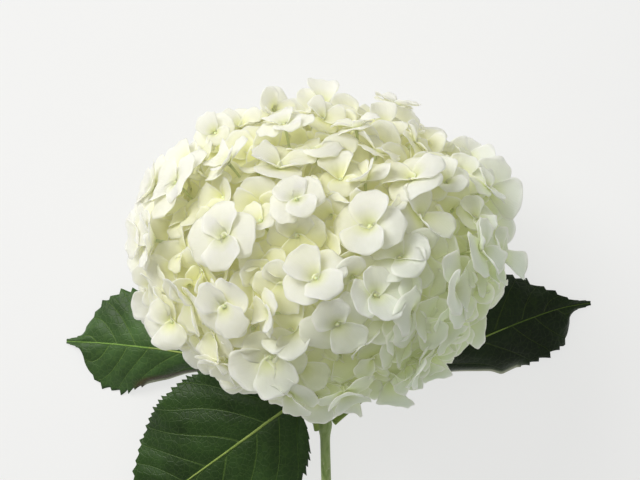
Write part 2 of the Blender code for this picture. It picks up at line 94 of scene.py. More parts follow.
# Each leaf: the route of its stalk and midrib, the widest half's width, the share of the route at
# which the blade starts, how each half rises from the midrib at the foot and at the tip in degrees,
# each half's width in millimetres along the blade, the teeth of a half and their depth, the veins,
# the half that is rolled under near the foot, and the colours of flesh, veins and rolled edge.
LEAVES = {
    "left_leaf": dict(
        spine=((-0.0045, -0.0855, 0.0315), (-0.014, -0.079, 0.0280), (-0.030, -0.066, 0.0240),
               (-0.052, -0.0560, 0.0210), (-0.0775, -0.0510, 0.0175), (-0.100, -0.0485, 0.0120),
               (-0.115, -0.0475, 0.0065), (-0.132, -0.0470, 0.0012)),
        half_width=0.029, blade_from=0.17, left=(-56, -8), right=(-8, -6),
        left_edge=((0.0, 1.8), (0.2, 6), (0.35, 9), (0.45, 13), (0.53, 17.5), (0.62, 20.5),
                   (0.74, 25.5), (0.8, 24.5), (0.85, 21.5), (0.895, 15), (0.915, 8), (0.93, 2.6),
                   (1.0, 1.0)),
        right_edge=((0.0, 1.8), (0.05, 12), (0.12, 19), (0.25, 26), (0.42, 29), (0.58, 29),
                    (0.68, 28), (0.76, 26), (0.8, 23.5), (0.845, 19), (0.885, 12), (0.915, 6),
                    (0.93, 2.6), (1.0, 1.0)),
        teeth=30, tooth=0.0034, veins=7, rolled="left", flesh=(0.058, 0.120, 0.034),
        vein=(0.14, 0.24, 0.05), fold=((0.085, 0.075, 0.035), (0.12, 0.11, 0.06)),
    ),
    "right_leaf": dict(
        spine=((0.0045, -0.0855, 0.0330), (0.013, -0.079, 0.0300), (0.030, -0.067, 0.0265),
               (0.0565, -0.0545, 0.0225), (0.085, -0.0420, 0.0180), (0.1065, -0.0340, 0.0120),
               (0.122, -0.0295, 0.0060), (0.136, -0.0275, 0.0012)),
        half_width=0.029, blade_from=0.17, left=(-8, -6), right=(-56, -6),
        left_edge=((0.0, 1.8), (0.05, 11), (0.12, 19), (0.25, 27), (0.42, 31), (0.55, 31),
                   (0.67, 26.5), (0.78, 15.5), (0.865, 7), (0.89, 4), (0.93, 2.2), (1.0, 1.0)),
        right_edge=((0.0, 1.8), (0.2, 7), (0.35, 13), (0.44, 18), (0.50, 21), (0.54, 25),
                    (0.6, 24), (0.68, 23), (0.78, 20.5), (0.85, 18.5), (0.88, 13), (0.9, 5),
                    (0.93, 2.2), (1.0, 1.0)),
        teeth=26, tooth=0.0034, veins=6, rolled="right", flesh=(0.014, 0.031, 0.007),
        vein=(0.06, 0.095, 0.015), fold=((0.018, 0.034, 0.010), (0.050, 0.075, 0.030)),
    ),
    "front_leaf": dict(
        spine=((-0.0038, -0.0888, 0.0367), (-0.0065, -0.0795, 0.0405), (-0.0115, -0.0745, 0.0420),
               (-0.0215, -0.0800, 0.0395), (-0.0375, -0.0920, 0.0345), (-0.0570, -0.1067, 0.0265),
               (-0.0770, -0.1217, 0.0170), (-0.0950, -0.1352, 0.0075), (-0.1055, -0.1430, 0.0012)),
        half_width=0.041, blade_from=0.125, left=(-6, -8), right=(-4, -8),
        left_edge=((0.0, 2.3), (0.05, 15), (0.12, 26), (0.25, 35), (0.4, 38), (0.52, 37),
                   (0.64, 30), (0.75, 20), (0.83, 12), (0.88, 5), (0.9, 2.8), (1.0, 1.2)),
        right_edge=((0.0, 2.3), (0.05, 15), (0.12, 27), (0.2, 35), (0.28, 39), (0.37, 41),
                    (0.5, 39.5), (0.58, 36), (0.68, 28.5), (0.76, 20), (0.83, 12), (0.88, 5),
                    (0.9, 2.8), (1.0, 1.2)),
        teeth=36, tooth=0.0026, veins=8, rolled="", flesh=(0.026, 0.062, 0.012),
        vein=(0.09, 0.16, 0.03),
    ),
    "young_leaf": dict(
        spine=((0.0012, -0.0845, 0.0385), (0.0018, -0.0795, 0.0430), (0.0020, -0.0735, 0.0465),
               (0.0015, -0.0665, 0.0490), (0.0005, -0.0595, 0.0500)),
        half_width=0.0058, blade_from=0.12, left=(38, 30), right=(38, 30),
        left_edge=YOUNG_EDGE, right_edge=YOUNG_EDGE,
        teeth=12, tooth=0.0003, veins=6, rolled="", flesh=(0.014, 0.034, 0.008),
        vein=(0.06, 0.10, 0.02),
    ),
}
# How the florets of the upper side look, by their place in FACE_FLORETS: the turn of the first
# sepal, how far the floret leans over, the way it leans, how deeply it cups, and its size over the
# model's. Angles are in degrees, and both turns run counterclockwise from the right.
FACE_LOOKS = {
    0: (25, 6, 90, 0.12, 1.15), 1: (-5, 32, 180, 0.36, 1.30), 2: (2, 10, 200, 0.16, 1.26),
    3: (30, 34, 180, 0.38, 1.15), 4: (45, 14, 270, 0.16, 1.14), 5: (20, 34, 225, 0.28, 1.15),
    6: (10, 55, 270, 0.16, 1.18), 7: (40, 22, 110, 0.30, 1.22), 8: (5, 36, 250, 0.26, 1.16),
    9: (28, 34, 300, 0.34, 1.22), 10: (15, 24, 60, 0.30, 1.20), 11: (35, 38, 135, 0.38, 1.28),
    12: (38, 18, 290, 0.16, 1.18), 13: (12, 42, 120, 0.24, 1.20), 14: (88, 30, 5, 0.18, 1.30),
    15: (60, 36, 350, 0.24, 1.22), 16: (40, 24, 30, 0.30, 1.22), 17: (70, 24, 340, 0.22, 1.20),
    18: (20, 44, 200, 0.34, 1.20), 20: (80, 44, 150, 0.34, 1.28), 21: (20, 24, 110, 0.20, 1.18),
    22: (50, 40, 60, 0.34, 1.2), 23: (32, 24, 20, 0.24, 1.24), 31: (70, 42, 120, 0.34, 1.2),
    37: (30, 36, 150, 0.28, 1.22), 38: (60, 24, 160, 0.16, 1.30), 41: (85, 26, 60, 0.26, 1.16),
    42: (40, 28, 100, 0.20, 1.30), 44: (15, 46, 150, 0.36, 1.18), 49: (75, 48, 180, 0.34, 1.2),
    51: (25, 26, 200, 0.22, 1.20), 52: (10, 30, 250, 0.26, 1.18), 53: (35, 14, 80, 0.46, 1.30),
    54: (50, 22, 230, 0.24, 1.20), 55: (20, 26, 300, 0.26, 1.20), 56: (10, 28, 280, 0.26, 1.2),
    58: (30, 40, 350, 0.28, 1.22), 59: (75, 42, 340, 0.22, 1.20), 61: (40, 44, 180, 0.32, 1.2),
}
JOINT_AT = 0.0865  # the leaves leave the stem this far behind the head's centre
JOINT_HEIGHT = 0.0333

# ---- sepals ----
# Two shells of florets deep in the head. For each: how far its florets lie over the middle layer,
# the smallest gap that gets another floret, their size and their layer.
UNDER_LAYER = -1
LINING_LAYER = -2
DEEP_SHELLS = (
    ((-0.0030, -0.0085, -0.0060), 0.0098, 0.025, UNDER_LAYER),
    ((-0.0165,), 0.0165, 0.034, LINING_LAYER),
)
LINED_UP = 0.15  # the lining covers the upper side, where the head's normal rises this much,
LINED_AHEAD = 0.20  # and the front, this far along the head's axis
PAINTED_DEPTH_SHADE_FROM = 0.004  # painted depth shade: sepals turn yellow-green from this far over the middle layer
PAINTED_DEPTH_SHADE_RANGE = 0.013  # down to this much lower, where they have it in full
FACING_UP = 0.55  # florets on the flanks turn up towards the light by this share
LIFTED_FROM = -0.35  # florets facing further down than this keep to the head's own curve
# Where the head's outline is flatter: bearing in degrees, half spread of it, share drawn in.
FLATTER = (
    (225, 24, 0.10), (272, 18, 0.09), (300, 20, 0.14), (331, 13, 0.08), (347, 26, 0.11),
    (85, 16, 0.03),
)
SEPAL_GRID = 13  # points along each side of a sepal's square grid
SEPAL_THICK = 0.00030
SEPAL_WIDTH = 1.30  # of a sepal's length
SEPAL_SCALE = 0.86
INNER_GAP = 0.0005  # by which the inner sepals lie over the outer ones
TUCK = 0.55  # a floret that turns up from the head's curve sits this much of its reach deeper
PRESS_GAP = 0.0005  # kept between a sepal and one pressed down under it
PRESS_LIMIT = 0.20  # of a sepal's length: how far its tip can be pressed down
PRESS_POWER = 1.3  # how steeply the pressing grows from a sepal's foot to its tip
PRESS_FROM = 0.2  # the share of a sepal's length from which it can be pressed
BIN = 0.010  # side of a cell of the map in which sepals are pressed apart
MAP_HALF = int(2.1 / BIN)  # cells from the middle of that map to its edge
FINE = 37  # points along each side of a sepal when it is entered in the map
FLOOR_EASE = 0.0020  # below this height the florets flatten towards the surface
FLOOR_GAP = 0.0003  # and stay at least this far over it
STALK_RADIUS = 0.00055
STALK_POINTS = 9
BUD_ROWS = 7
BUD_SIDES = 12
BUD_RADIUS = 0.00098
BUD_HEIGHT = 0.0012  # of its middle over the sepals' foot
# The knuckle at a ray's end: places along the ray and the radius there.
KNUCKLE = ((-0.0012, 0.0004), (-0.0008, 0.0011), (0, 0.0014), (0.0008, 0.0012), (0.0012, 0.0009))

# ---- stem and leaves ----
STEM_RINGS = 110
JOINT_SWELL, JOINT_SPREAD = 0.0012, 0.0045
BRANCHING_SWELL, BRANCHING_SPREAD = 0.0008, 0.004
BRANCH_RADII = (0.0021, 0.0018, 0.0016, 0.0016, 0.0016, 0.0017, 0.0021)
RAY_RADII = (0.0014, 0.0011, 0.0010, 0.0009, 0.0009, 0.0009, 0.0009, 0.0010, 0.0012)
LEAF_ROWS = 300
LEAF_COLUMNS = 41
LEAF_THICK = 0.00045
LEAF_ROUTE_POINTS = 400
EDGE_ROUNDS = 14  # rounds of smoothing that take the corners off a leaf's outline
ROLL_ENDS = 0.70  # of the blade: how far a rolled edge reaches from the foot
ROLL_DROP = 0.0025
QUILTING = 0.0011  # height of the blade between its veins, on a leaf 30 mm wide each side
EDGE_WAVE = 0.0016
MIDRIB_GROOVE = 0.0006
MIDRIB_RADIUS = 0.0016
MIDRIB_SHARE = 0.62  # of the blade: how far the raised midrib runs
FOLD_RIM = (0.36, 0.38, 0.25)  # the pale underside that shows along a leaf's rolled edge

# ---- studio ----
WORLD_LIGHT = (0.97, 1.0, 0.96, 1.0)
WORLD_STRENGTH = 0.22
# Each lamp: name, place, what it is aimed at, width, power and colour.
LAMPS = (
    ("key", (-0.85, 0.95, 1.15), (0.0, 0.08, 0.06), 1.0, 21, (1.0, 0.985, 0.95)),
    ("front", (-0.20, 0.30, 1.50), (0.0, 0.08, 0.06), 0.8, 2.2, (1.0, 0.985, 0.95)),
    ("fill", (1.0, -0.6, 1.2), (0.0, 0.05, 0.05), 1.4, 0.8, (0.95, 0.98, 1.0)),
)
FLOOR_REACH = 3  # each way from the middle
CAMERA_LENS = 110
CAMERA_SENSOR = 36
CAMERA_HEIGHT = 1.0
CAMERA_ASIDE = (-0.0024, 0.0047)  # from the head's centre

AXIS = Vector((0.0, math.cos(HEAD_TILT), math.sin(HEAD_TILT)))
SIDE = Vector((1.0, 0.0, 0.0))
BELLY = AXIS.cross(SIDE)
GROUND = Vector((HEAD_CENTRE.x, HEAD_CENTRE.y, 0.0))
BRANCHING = GROUND + Vector(STEM_ROUTE[0][0])
UP = Vector((0.0, 0.0, 1.0))
MEAN_RADIUS = 0.078  # of the head
HEAD_FRAME = np.array((SIDE / HEAD_ACROSS, BELLY / HEAD_ACROSS, AXIS / HEAD_ALONG))


# ---- the layout ----

def over_head(direction, lift=0.0):
    """The point over a direction from the head's centre, and the outward normal there."""
    local = Vector((HEAD_ACROSS * direction.x, HEAD_ACROSS * direction.y, HEAD_ALONG * direction.z))
    out = Vector((direction.x / HEAD_ACROSS, direction.y / HEAD_ACROSS, direction.z / HEAD_ALONG))
    out.normalize()
    local += out * lift
    place = HEAD_CENTRE + SIDE * local.x + BELLY * local.y + AXIS * local.z
    normal = SIDE * out.x + BELLY * out.y + AXIS * out.z
    pressed = OUTERMOST - lift
    if place.z < pressed:
        place.z = pressed
        normal = Vector((0.0, 0.0, -1.0))
    return place, normal


def direction_to(place):
    offset = place - HEAD_CENTRE
    local = Vector((offset.dot(SIDE) / HEAD_ACROSS, offset.dot(BELLY) / HEAD_ACROSS,
                    offset.dot(AXIS) / HEAD_ALONG))
    return local.normalized()


def seen_from_above(x, y):
    """The direction of the middle layer's upper point at x, y from the centre."""
    across = x / HEAD_ACROSS
    ring = math.sqrt(max(0.0, 1.0 - across * across))
    sine, cosine = math.sin(HEAD_TILT), math.cos(HEAD_TILT)
    reach = math.hypot(HEAD_ACROSS * sine, HEAD_ALONG * cosine)
    turn = math.atan2(HEAD_ALONG * cosine, HEAD_ACROSS * sine)
    swing = math.acos(max(-1.0, min(1.0, y / max(1e-9, ring * reach))))
    choices = [Vector((across, ring * math.cos(angle), ring * math.sin(angle)))
               for angle in (turn + swing, turn - swing)]
    return max(choices, key=lambda choice: over_head(choice)[0].z)


def spiral_directions(count):
    """Directions spread evenly over the covered part of the head."""
    golden = math.pi * (3.0 - math.sqrt(5.0))
    lowest = math.cos(COVERED)
    for index in range(count):
        z = 1.0 - (1.0 - lowest) * (index + 0.5) / count
        ring = math.sqrt(1.0 - z * z)
        yield Vector((ring * math.cos(golden * index), ring * math.sin(golden * index), z))


def spots(florets):
    """Directions that could take another floret, their places, and the places of the florets."""
    directions = list(spiral_directions(FILL_PLACES))
    places = [over_head(direction)[0] for direction in directions]
    return directions, places, [over_head(floret["direction"])[0] for floret in florets]


def farthest(candidates, places, taken):
    """The candidate whose place is farthest from the places taken, and that distance."""
    best, best_gap = None, -1.0
    for candidate, place in zip(candidates, places):
        gap = min((place - other).length for other in taken)
        if gap > best_gap:
            best, best_gap = candidate, gap
    return best, best_gap


def floret_plan():
    """Every floret as a dict: direction, layer, size, place and normal."""
    florets = []
    for x, y, layer, size in FACE_FLORETS:
        direction = seen_from_above(x / 1000, y / 1000)
        florets.append(dict(direction=direction, layer=layer, size=size / 1000))
    for x, y in RESTING_FLORETS:
        below = Vector((HEAD_CENTRE.x + x / 1000, HEAD_CENTRE.y + y / 1000, 0.0))
        florets.append(dict(direction=direction_to(below), layer=2, size=FILL_SIZE))
    candidates, places, taken = spots(florets)
    while True:
        direction, gap = farthest(candidates, places, taken)
        if gap < FILL_SPACING:
            break
        place = over_head(direction)[0]
        spare = [min([(place - there).length for there, floret in zip(taken, florets)
                      if floret["layer"] == layer] or [1.0]) for layer in range(3)]
        florets.append(dict(direction=direction, layer=spare.index(max(spare)), size=FILL_SIZE))
        taken.append(place)
    for index, floret in enumerate(florets):
        lift = (floret["layer"] - 1) * LAYER_STEP
        floret["index"] = index
        floret["place"], floret["normal"] = over_head(floret["direction"], lift)
    return florets


def deep_florets(florets):
    """Florets under the others, which fill the head between its rays, and a lining of flat ones
    under those."""
    candidates, places, taken = spots(florets)
    deep = []
    for lifts, spacing, size, layer in DEEP_SHELLS:
        while True:
            direction, gap = farthest(candidates, places, taken)
            if gap < spacing:
                break
            taken.append(over_head(direction)[0])
            place, normal = over_head(direction, lifts[len(deep) % len(lifts)])
            if layer == LINING_LAYER and normal.z < LINED_UP and direction.z < LINED_AHEAD:
                continue
            deep.append(dict(direction=direction, layer=layer, size=size, place=place,
                             normal=normal, index=len(florets) + len(deep)))
        taken = [Vector((0.0, 0.0, -1.0))]
    return deep


def cluster_plan(florets):
    """The florets in the model's groups of neighbours: a list of (ray end, florets)."""
    waiting = sorted(florets, key=lambda floret: floret["direction"].z)
    clusters = []
    while waiting:
        first = waiting.pop(0)
        near = sorted(waiting, key=lambda floret: (floret["place"] - first["place"]).length)
        group = [first] + [floret for floret in near[:CLUSTER_SIZE - 1]
                           if (floret["place"] - first["place"]).length < CLUSTER_SPAN]
        for floret in group[1:]:
            waiting.remove(floret)
        middle = sum((floret["place"] for floret in group), Vector()) / len(group)
        clusters.append((BRANCHING.lerp(middle, RAY_REACH), group))
    return clusters


def ray_groups(ends):
    """The ray ends gathered under the main branches."""
    seeds = [ends[0]]
    while len(seeds) < MAIN_BRANCHES:
        seeds.append(farthest(ends, ends, seeds)[0])
    groups = [[] for _ in seeds]
    for end in ends:
        gaps = [(end - seed).length for seed in seeds]
        groups[gaps.index(min(gaps))].append(end)
    return [group for group in groups if group]


# ---- meshes ----

def placed(name, data):
    """A new object of the scene."""
    thing = bpy.data.objects.new(name, data)
    bpy.context.scene.collection.objects.link(thing)
    return thing


def unit_rows(vectors):
    return vectors / np.linalg.norm(vectors, axis=1, keepdims=True)


class Shape:
    """Gathers surfaces into one mesh. Each point carries three numbers for its material, and how
    deep it lies in the head, which the sepal material turns into painted shade, or, on a leaf,
    how far it is rolled under."""

    def __init__(self):
        self.points, self.maps, self.depths, self.faces, self.slots = [], [], [], [], []
        self.count = 0

    def add(self, points, maps, faces, slot, depth=None):
        self.points.append(np.asarray(points, float).reshape(-1, 3))
        self.depths.append(np.zeros(len(self.points[-1])) if depth is None else depth.ravel())
        self.maps.append(np.asarray(maps, float).reshape(-1, 3))
        self.faces.extend([[corner + self.count for corner in face] for face in faces])
        self.slots.extend([slot] * len(faces))
        self.count += len(self.points[-1])

    def finish(self, name, materials, slot, *nodes):
        mesh = bpy.data.meshes.new(name)
        mesh.from_pydata(np.concatenate(self.points).tolist(), [], self.faces)
        # On sepals the depth attribute carries the painted depth shade; on leaves it carries the roll.
        for title, kind, field, values in (("shape", "FLOAT_VECTOR", "vector", self.maps),
                                           ("depth", "FLOAT", "value", self.depths)):
            made = mesh.attributes.new(title, kind, "POINT")
            made.data.foreach_set(field, np.concatenate(values).ravel())
        for material in materials:
            mesh.materials.append(material)
        mesh.polygons.foreach_set("material_index", self.slots)
        mesh.polygons.foreach_set("use_smooth", [True] * len(mesh.polygons))
        mesh.update()
        piece = placed(name, mesh)
        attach(piece, "root")
        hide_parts(*nodes)
        return piece


def grid_faces(rows, columns):
    """The faces of a closed thin sheet: an upper grid, then a lower one, and the rim between."""
    def at(row, column, side):
        return side * rows * columns + row * columns + column

    faces = []
    for row in range(rows - 1):
        for column in range(columns - 1):
            corners = ((row, column), (row + 1, column), (row + 1, column + 1), (row, column + 1))
            faces.append([at(*corner, 0) for corner in corners])
            faces.append([at(*corner, 1) for corner in reversed(corners)])
    rim = [(row, 0) for row in range(rows - 1)]
    rim += [(rows - 1, column) for column in range(columns - 1)]
    rim += [(row, columns - 1) for row in range(rows - 1, 0, -1)]
    rim += [(0, column) for column in range(columns - 1, 0, -1)]
    for here, there in zip(rim, rim[1:] + rim[:1]):
        faces.append([at(*there, 0), at(*here, 0), at(*here, 1), at(*there, 1)])
    return faces


def sheet_normals(points):
    """Unit normals of a grid of points shaped (rows, columns, 3)."""
    normals = np.cross(np.gradient(points, axis=0), np.gradient(points, axis=1))
    return normals / np.maximum(np.linalg.norm(normals, axis=2, keepdims=True), 1e-12)


def add_sheet(shape, points, thick, maps, faces, slot, depth=None):
    """A thin sheet about a grid of middle points, thick metres from face to face."""
    offset = sheet_normals(points) * thick / 2
    both = np.stack((points + offset, points - offset))
    if depth is not None:
        depth = np.stack((depth, depth))
    shape.add(both, np.stack((maps, maps)), faces, slot, depth)


def tube_faces(rings, sides):
    faces = []
    for ring in range(rings - 1):
        for side in range(sides):
            beside = (side + 1) % sides
            faces.append([ring * sides + side, ring * sides + beside,
                          (ring + 1) * sides + beside, (ring + 1) * sides + side])
    faces.append(list(range(sides))[::-1])
    faces.append([(rings - 1) * sides + side for side in range(sides)])
    return faces


def add_tube(shape, path, radii, sides, slot):
    """A round tube along a path. Its points carry the share of its length and the turn."""
    path = np.array(path, float)
    tangents = unit_rows(np.gradient(path, axis=0))
    first = unit_rows(np.cross(tangents, (0.12, 0.31, 0.94)))
    second = np.cross(tangents, first)
    turn = np.linspace(0, 2 * np.pi, sides, endpoint=False)
    around = (first[:, None] * np.cos(turn)[None, :, None]
              + second[:, None] * np.sin(turn)[None, :, None])
    points = path[:, None] + around * np.asarray(radii, float)[:, None, None]
    share = np.linspace(0, 1, len(path))[:, None] * np.ones(sides)
    maps = np.stack((share, turn * np.ones((len(path), 1)), np.zeros_like(share)), axis=2)
    shape.add(points, maps, tube_faces(len(path), sides), slot)


def bend(start, start_way, end, end_way, count):
    """Points on a smooth curve that leaves start along start_way and reaches end along end_way."""
    reach = (end - start).length * 0.4
    handles = (start, start + start_way * reach, end - end_way * reach, end)
    path = []
    for step in range(count):
        t = step / (count - 1)
        weights = ((1 - t) ** 3, 3 * t * (1 - t) ** 2, 3 * t * t * (1 - t), t ** 3)
        path.append(sum((handle * weight for handle, weight in zip(handles, weights)), Vector()))
    return path


def smooth_path(points, count):
    """Points evenly placed along a smooth curve through the given points."""
    fine = []
    for index in range(len(points) - 1):
        before = points[max(index - 1, 0)]
        here, there = points[index], points[index + 1]
        after = points[min(index + 2, len(points) - 1)]
        for step in range(20):
            t = step / 20
            fine.append(0.5 * (2 * here + (there - before) * t
                               + (2 * before - 5 * here + 4 * there - after) * t * t
                               + (3 * here - before - 3 * there + after) * t * t * t))
    fine.append(points[-1].copy())
    fine = np.array(fine)
    lengths = np.concatenate(([0.0], np.cumsum(np.linalg.norm(np.diff(fine, axis=0), axis=1))))
    wanted = np.linspace(0, lengths[-1], count)
    return np.stack([np.interp(wanted, lengths, fine[:, axis]) for axis in range(3)], axis=1)


def eased_floor(points):
    """Presses points near and under the surface flat onto it, keeping their order."""
    points = points.copy()
    height = points[..., 2]
    low = height < FLOOR_EASE
    depth = FLOOR_EASE - FLOOR_GAP
    height[low] = FLOOR_GAP + depth * np.exp((height[low] - FLOOR_EASE) / depth)
    return points


# ---- sepals ----

def disc_grid(count):
    """A square grid drawn over a unit disc."""
    line = np.linspace(-1, 1, count)
    p, q = np.meshgrid(line, line, indexing="ij")
    return p * np.sqrt(1 - q * q / 2), q * np.sqrt(1 - p * p / 2)


DISC_X, DISC_Y = disc_grid(SEPAL_GRID)
DISC_RADIUS = np.hypot(DISC_X, DISC_Y)
DISC_TURN = np.arctan2(DISC_Y, DISC_X)
SEPAL_FACES = grid_faces(SEPAL_GRID, SEPAL_GRID)


def sepal(rng, length, width, cup, tip, inner):
    """The middle surface of one sepal that grows from the origin along X and faces +Z, and the
    share of its length at every point. inner sepals lie over the edges of the outer ones."""
    phases = rng.uniform(0, 2 * np.pi, 4)
    ragged = 1 + DISC_RADIUS ** 5 * (0.028 * np.sin(3 * DISC_TURN + phases[0])
                                     + rng.uniform(0.01, 0.05) * np.sin(7 * DISC_TURN + phases[1]))
    ragged = ragged + rng.uniform(-0.04, 0.035) * DISC_RADIUS ** 4 * np.exp(-(DISC_TURN / 0.35) ** 2)
    along = (DISC_X + 1) / 2
    spread = 0.58 + 0.42 * np.sin(np.clip(along / 0.62, 0, 1) * np.pi / 2)
    x = length * (1.10 * (DISC_X * ragged + 1) / 2 - 0.10)
    y = length * width / 2 * DISC_Y * spread * ragged
    share = np.hypot(x, y) / length
    across = y / (length * width / 2)
    z = cup * (1 - (1 - np.minimum(share, 1)) ** 2) + tip * share ** 3
    trough = rng.uniform(0.03, 0.24) if inner else rng.uniform(-0.10, 0.02)
    z += trough * across ** 2 * np.clip(share, 0, 1)
    z += rng.uniform(0.0, 0.05) * np.abs(across) * np.clip(share, 0, 1) * (1 if inner else -1)
    z += (0.045 * DISC_RADIUS ** 6 * np.sin(3 * DISC_TURN + phases[2]) * rng.uniform(0.3, 1.5)
          + 0.018 * DISC_RADIUS ** 6 * np.sin(8 * DISC_TURN + phases[3]))
    z += 0.025 * DISC_RADIUS ** 10
    y = y + rng.uniform(-0.12, 0.12) * x * np.abs(x) / length
    height = length * z + (INNER_GAP if inner else 0.0) * np.minimum(1, share * 3)
    return np.stack((x, y, height), axis=2), share


def floret_look(floret):
    """How a floret's sepals turn, lean and cup, by its place among the florets."""
    rng = np.random.default_rng(1000 + floret["index"])
    look = dict(turn=rng.uniform(0, 90), lean=rng.uniform(8, 48), lean_to=rng.uniform(0, 360),
                cup=rng.uniform(0.08, 0.45), tip=rng.uniform(-0.20, 0.08), raised=0.45,
                scale=rng.uniform(1.05, 1.30))
    if floret["index"] in FACE_LOOKS:
        names = ("turn", "lean", "lean_to", "cup", "scale")
        look.update(zip(names, FACE_LOOKS[floret["index"]]), raised=0.22)
    if floret["layer"] == UNDER_LAYER:
        look["cup"] = rng.uniform(0.20, 0.5)
        look["lean"] = rng.uniform(10, 68)
        look["scale"] = rng.uniform(0.95, 1.25)
    if floret["layer"] == LINING_LAYER:
        look["cup"] = rng.uniform(0.05, 0.2)
        look["lean"] = rng.uniform(0, 15)
    low = min(1.0, floret["place"].z / 0.03)
    look["cup"] *= low
    look["lean"] *= low
    return look, rng


def floret_frame(floret, look):
    """Rows: the floret's own X, Y and Z in the world. X points to the right as seen from above,
    as near as the head's curve allows."""
    normal = floret["normal"]
    if normal.z > LIFTED_FROM:
        normal = normal.lerp(UP, FACING_UP * (1 - normal.z)).normalized()
    across = SIDE - normal * SIDE.dot(normal)
    if across.length < 0.3:
        across = Vector((0, 1, 0)) - normal * normal.y
    across.normalize()
    ahead = normal.cross(across)
    way = math.radians(look["lean_to"])
    lean = math.radians(look["lean"])
    over = across * math.cos(way) + ahead * math.sin(way)
    tilted = normal * math.cos(lean) + over * math.sin(lean)
    tilted.normalize()
    first = (across - tilted * across.dot(tilted)).normalized()
    second = tilted.cross(first)
    return np.array((first, second, tilted))


def flattened(place):
    """The place drawn in a little where the outline of the head is flatter than the model's."""
    out = place - HEAD_CENTRE
    bearing = math.degrees(math.atan2(out.y, out.x)) % 360
    flank = min(1.0, math.hypot(out.x, out.y) / HEAD_ACROSS) ** 3
    drawn = 0.0
    for middle, spread, depth in FLATTER:
        aside = (bearing - middle + 180) % 360 - 180
        drawn += depth * math.exp(-(aside / spread) ** 2)
    return place - Vector((out.x, out.y, 0.0)) * drawn * flank


def grown_sepals(floret):
    """The floret's four sepals in the world, before any is pressed down."""
    look, rng = floret_look(floret)
    frame = floret_frame(floret, look)
    turned = math.sqrt(max(0.0, 1 - float(np.dot(frame[2], floret["normal"])) ** 2))
    sunk = floret["normal"] * (TUCK * turned * floret["size"] / 2)
    place = np.array(flattened(floret["place"] - sunk)) - frame[2] * BUD_HEIGHT
    sepals = []
    for index in range(4):
        inner = index % 2 == 1
        length = floret["size"] / 2 * SEPAL_SCALE * look["scale"] * rng.uniform(0.95, 1.10)
        length *= 0.97 if inner else 1.06
        width = SEPAL_WIDTH * rng.uniform(0.92, 1.12)
        raised = rng.uniform(0.03, look["raised"]) if inner else 0.0
        points, share = sepal(rng, length, width, look["cup"] * rng.uniform(0.7, 1.0) + raised,
                              look["tip"] + rng.uniform(-0.12, 0.10), inner)
        turn = math.radians(look["turn"] + 90 * index + rng.uniform(-7, 7))
        spun = np.array(((math.cos(turn), math.sin(turn), 0), (-math.sin(turn), math.cos(turn), 0),
                         (0, 0, 1)))
        world = place + points @ spun @ frame
        sepals.append(dict(points=world, share=share, length=length, tint=rng.uniform(0, 1)))
    floret["frame"] = frame
    floret["middle"] = place
    return sepals


def head_cells(points):
    """For each point, its cell in the map of the head's surface, and its height in head radii."""
    local = (points - np.array(HEAD_CENTRE)) @ HEAD_FRAME.T
    height = np.linalg.norm(local, axis=-1)
    unit = local / height[..., None]
    flat = unit[..., :2] / np.sqrt(np.maximum(1e-6, (1 + unit[..., 2:]) / 2))
    cells = np.clip(np.floor(flat / BIN).astype(int) + MAP_HALF, 1, 2 * MAP_HALF - 2)
    return cells, height


def finer_weights(count, fine):
    """The weights that turn a line of count points into a line of fine points."""
    line = np.linspace(0, count - 1, fine)
    low = np.minimum(line.astype(int), count - 2)
    weights = np.zeros((fine, count))
    weights[np.arange(fine), low] = 1 - (line - low)
    weights[np.arange(fine), low + 1] += line - low
    return weights


FINER = finer_weights(SEPAL_GRID, FINE)


def finer(piece):
    """A sepal's points on a finer grid."""
    return np.einsum("ai,ijc,bj->abc", FINER, piece["points"], FINER)


def press_apart(florets):
    """Presses the sepals of lower florets down under those over them."""
    lowest = np.full((2 * MAP_HALF, 2 * MAP_HALF), np.inf)
    order = sorted(florets, key=lambda floret: (-floret["layer"], floret["index"]))
    for floret in order:
        down = -floret["frame"][2]
        for piece in floret["sepals"]:
            share = FINER @ piece["share"] @ FINER.T
            cells, height = head_cells(finer(piece))
            over = np.full(height.shape, np.inf)
            for row in (-1, 0, 1):
                for column in (-1, 0, 1):
                    there = lowest[cells[..., 0] + row, cells[..., 1] + column]
                    over = np.minimum(over, there)
            need = (height - over) * MEAN_RADIUS + PRESS_GAP
            need[~np.isfinite(need)] = 0
            lever = np.maximum(share, PRESS_FROM) ** PRESS_POWER
            drop = np.max(np.where(share > PRESS_FROM, need / lever, 0))
            drop = min(max(drop, 0.0), PRESS_LIMIT * piece["length"])
            pressed = drop * piece["share"] ** PRESS_POWER
            piece["points"] = piece["points"] + down * pressed[..., None]
        for piece in floret["sepals"]:
            cells, height = head_cells(finer(piece))
            np.minimum.at(lowest, (cells[..., 0], cells[..., 1]), height)


def add_sepals(shape, floret):
    for piece in floret["sepals"]:
        points = eased_floor(piece["points"])
        tint = np.full_like(piece["share"], piece["tint"])
        maps = np.stack((piece["share"], DISC_RADIUS, DISC_Y * 0.5 + tint * 20), axis=2)
        thick = SEPAL_THICK * (1 - 0.55 * DISC_RADIUS ** 6)[..., None]
        # How deep each point lies under the middle layer, for the sepals' painted yellow-green depth
        # shade.
        over = (head_cells(points)[1] - 1) * MEAN_RADIUS
        depth = np.clip((PAINTED_DEPTH_SHADE_FROM - over) / PAINTED_DEPTH_SHADE_RANGE, 0, 1)
        add_sheet(shape, points, thick, maps, SEPAL_FACES, 0, depth)


